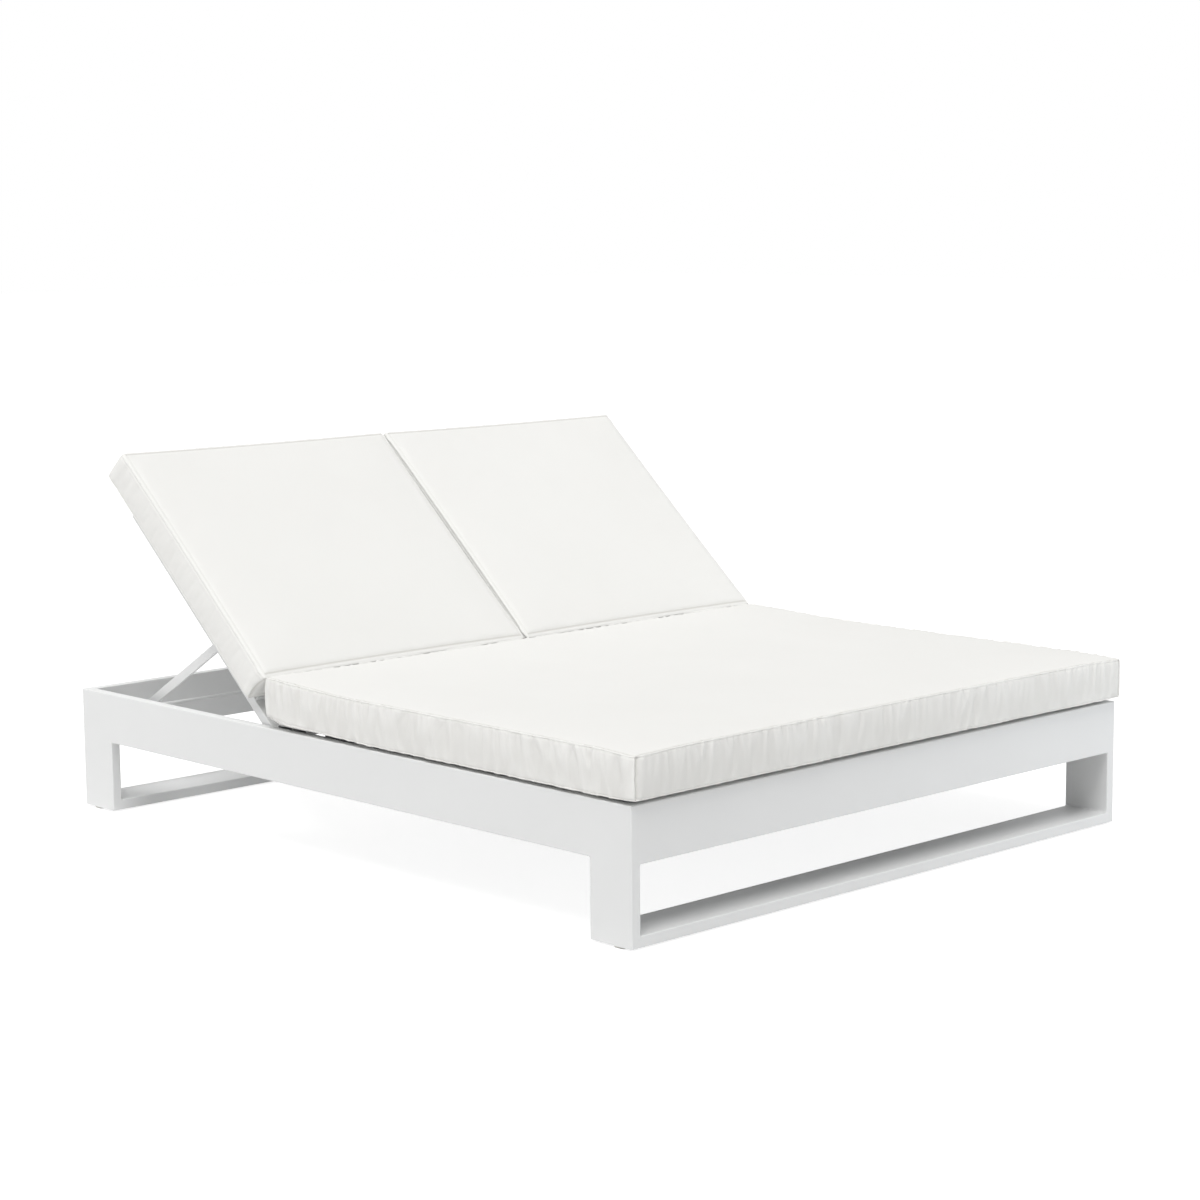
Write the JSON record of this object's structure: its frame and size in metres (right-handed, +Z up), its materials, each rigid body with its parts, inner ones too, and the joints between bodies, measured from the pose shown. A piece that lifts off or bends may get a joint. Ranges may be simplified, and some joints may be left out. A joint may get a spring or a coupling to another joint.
{
  "type": "double chaise lounger",
  "caption": "Wide flat-tube garden daybed with a full-width seat cushion and, side by side, two separately tilting backs on hinged props over notched racks.",
  "frame": {"origin": "on the floor, under the middle of the bed frame", "axes": "+X across the bed to the right as seen from the foot, +Y from the foot to the head, +Z up"},
  "size_m": [1.6578, 2.0139, 0.9176],
  "materials": {
    "frame_coat": "satin",
    "cushion_fabric": "matte",
    "stainless_hardware": "satin",
    "nylon_bush": "matte",
    "glide_plastic": "matte",
    "pad_rubber": "matte"
  },
  "bodies": {
    "frame": {"centre_beam": "frame_coat", "cross_brace": "frame_coat", "floor_glides": "glide_plastic", "foot_rail": "frame_coat", "foot_stretcher": "frame_coat", "head_rail": "frame_coat", "head_stretcher": "frame_coat", "hinge_pins": "stainless_hardware", "landing_pads": "pad_rubber", "leg_foot_left": "frame_coat", "leg_foot_right": "frame_coat", "leg_head_left": "frame_coat", "leg_head_right": "frame_coat", "prop_rack_left_inner": "frame_coat", "prop_rack_left_outer": "frame_coat", "prop_rack_right_inner": "frame_coat", "prop_rack_right_outer": "frame_coat", "seat_cushion": "cushion_fabric", "seat_ledger_left": "frame_coat", "seat_ledger_right": "frame_coat", "seat_slat_1": "frame_coat", "seat_slat_2": "frame_coat", "seat_slat_3": "frame_coat", "seat_slat_4": "frame_coat", "seat_slat_5": "frame_coat", "seat_slat_6": "frame_coat", "seat_slat_7": "frame_coat", "side_rail_left": "frame_coat", "side_rail_right": "frame_coat"},
    "back_left": {"back_left_crossbar": "frame_coat", "back_left_cushion": "cushion_fabric", "back_left_hinge_bushes": "nylon_bush", "back_left_prop_bolts": "stainless_hardware", "back_left_side_tube_inner": "frame_coat", "back_left_side_tube_outer": "frame_coat", "back_left_slat_1": "frame_coat", "back_left_slat_2": "frame_coat", "back_left_slat_3": "frame_coat", "back_left_slat_4": "frame_coat", "back_left_slat_5": "frame_coat", "back_left_top_tube": "frame_coat"},
    "prop_left": {"prop_left_arm_inner": "frame_coat", "prop_left_arm_outer": "frame_coat", "prop_left_foot_rod": "frame_coat"},
    "back_right": {"back_right_crossbar": "frame_coat", "back_right_cushion": "cushion_fabric", "back_right_hinge_bushes": "nylon_bush", "back_right_prop_bolts": "stainless_hardware", "back_right_side_tube_inner": "frame_coat", "back_right_side_tube_outer": "frame_coat", "back_right_slat_1": "frame_coat", "back_right_slat_2": "frame_coat", "back_right_slat_3": "frame_coat", "back_right_slat_4": "frame_coat", "back_right_slat_5": "frame_coat", "back_right_top_tube": "frame_coat"},
    "prop_right": {"prop_right_arm_inner": "frame_coat", "prop_right_arm_outer": "frame_coat", "prop_right_foot_rod": "frame_coat"}
  },
  "joints": [
    {"name": "back_left_tilt", "type": "hinge", "parent": "frame", "child": "back_left", "pos_m": [0, 0.24, 0.2862], "axis": [1, 0, 0], "range_deg": [-41.5, 14.5]},
    {"name": "prop_left_swing", "type": "hinge", "parent": "back_left", "child": "prop_left", "pos_m": [0, 0.45872, 0.4797], "axis": [1, 0, 0], "range_deg": [-24.1, 68.9]},
    {"name": "back_right_tilt", "type": "hinge", "parent": "frame", "child": "back_right", "pos_m": [0, 0.24, 0.2862], "axis": [1, 0, 0], "range_deg": [-41.5, 14.5]},
    {"name": "prop_right_swing", "type": "hinge", "parent": "back_right", "child": "prop_right", "pos_m": [0, 0.45872, 0.4797], "axis": [1, 0, 0], "range_deg": [-24.1, 68.9]}
  ],
  "couplings": [
    {"joint": "prop_left_swing", "follows": "back_left_tilt", "ratio": -1.66},
    {"joint": "prop_right_swing", "follows": "back_right_tilt", "ratio": -1.66}
  ]
}
